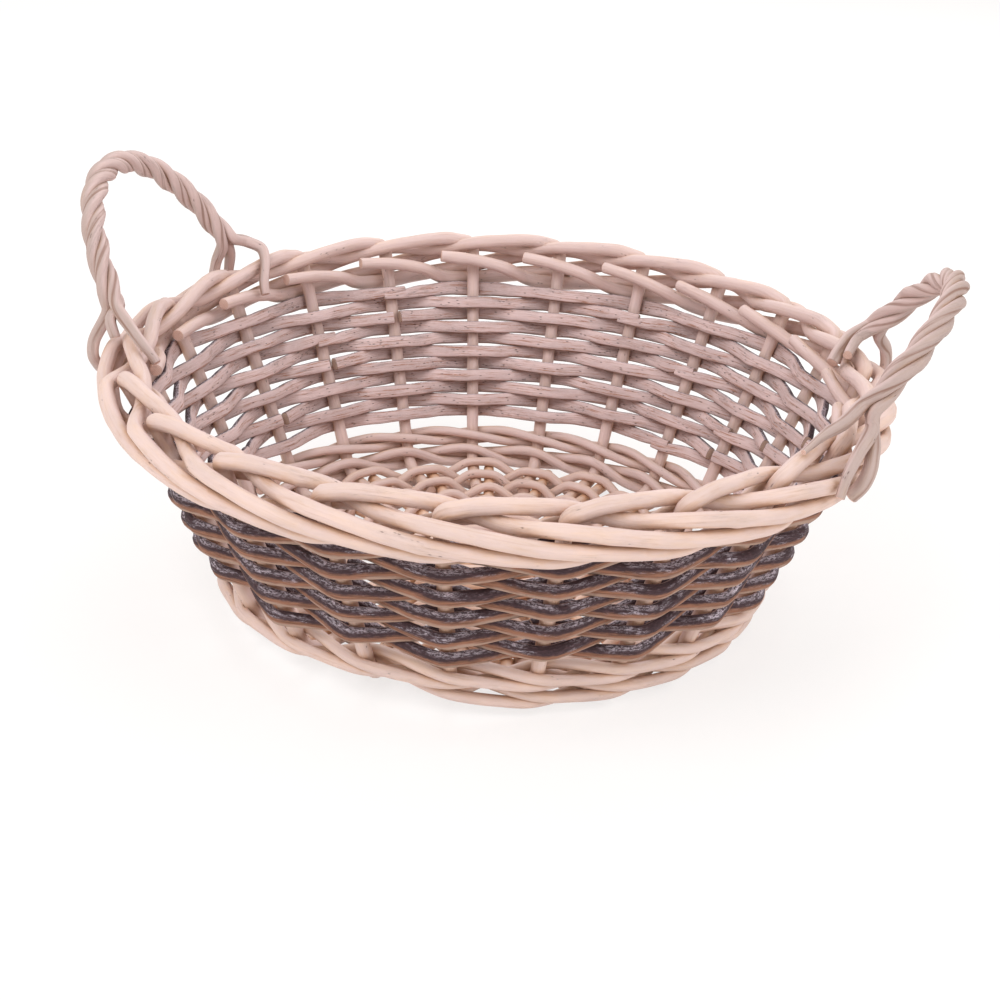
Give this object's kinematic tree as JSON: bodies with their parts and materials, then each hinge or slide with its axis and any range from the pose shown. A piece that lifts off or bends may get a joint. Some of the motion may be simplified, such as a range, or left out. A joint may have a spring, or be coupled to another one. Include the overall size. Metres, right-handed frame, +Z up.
{
  "type": "round basket",
  "caption": "Round openwork basket with a flared woven wall, a laid rod border and rope-twisted ear handles on opposite sides of the rim, for holding and serving light goods.",
  "frame": {"origin": "on the ground, under the middle of the overall box of the basket with its handles", "axes": "+Z up, out of the mouth; +X from the left handle towards the right handle; -Y is the front side in the picture"},
  "size_m": [0.3924, 0.3592, 0.1851],
  "materials": {
    "pale_rod": "dry matt peeled rods, chalky wash worn through",
    "base_rod": "dry matt rods, warm tan",
    "dark_split": "matt bark-side splits, dark brown under a pale rubbed wash",
    "handle_rope": "matt twisted rods, pinkish beige"
  },
  "bodies": {
    "root": {"stake_01": "pale_rod", "stake_02": "pale_rod", "stake_03": "pale_rod", "stake_04": "pale_rod", "stake_05": "pale_rod", "stake_06": "pale_rod", "stake_07": "pale_rod", "stake_08": "pale_rod", "stake_09": "pale_rod", "stake_10": "pale_rod", "stake_11": "pale_rod", "stake_12": "pale_rod", "stake_13": "pale_rod", "stake_14": "pale_rod", "stake_15": "pale_rod", "stake_16": "pale_rod", "stake_17": "pale_rod", "stake_18": "pale_rod", "stake_19": "pale_rod", "stake_20": "pale_rod", "stake_21": "pale_rod", "stake_22": "pale_rod", "base_stick_through_1": "base_rod", "base_stick_through_2": "base_rod", "base_stick_through_3": "base_rod", "base_stick_through_4": "base_rod", "base_stick_through_5": "base_rod", "base_stick_through_6": "base_rod", "base_stick_slit_1": "base_rod", "base_stick_slit_2": "base_rod", "base_stick_slit_3": "base_rod", "base_stick_slit_4": "base_rod", "base_stick_slit_5": "base_rod", "base_weaver_1": "base_rod", "base_weaver_2": "base_rod", "upsett_rod_1": "pale_rod", "upsett_rod_2": "pale_rod", "upsett_rod_3": "pale_rod", "side_row_01": "dark_split", "side_row_02": "dark_split", "side_row_03": "dark_split", "side_row_04": "dark_split", "side_row_05": "dark_split", "side_row_06": "dark_split", "side_row_07": "dark_split", "side_row_08": "dark_split", "side_row_09": "dark_split", "side_row_10": "dark_split", "side_row_11": "dark_split", "left_handle_strand_1": "handle_rope", "left_handle_strand_2": "handle_rope", "left_handle_strand_3": "handle_rope", "right_handle_strand_1": "handle_rope", "right_handle_strand_2": "handle_rope", "right_handle_strand_3": "handle_rope"}
  },
  "joints": []
}
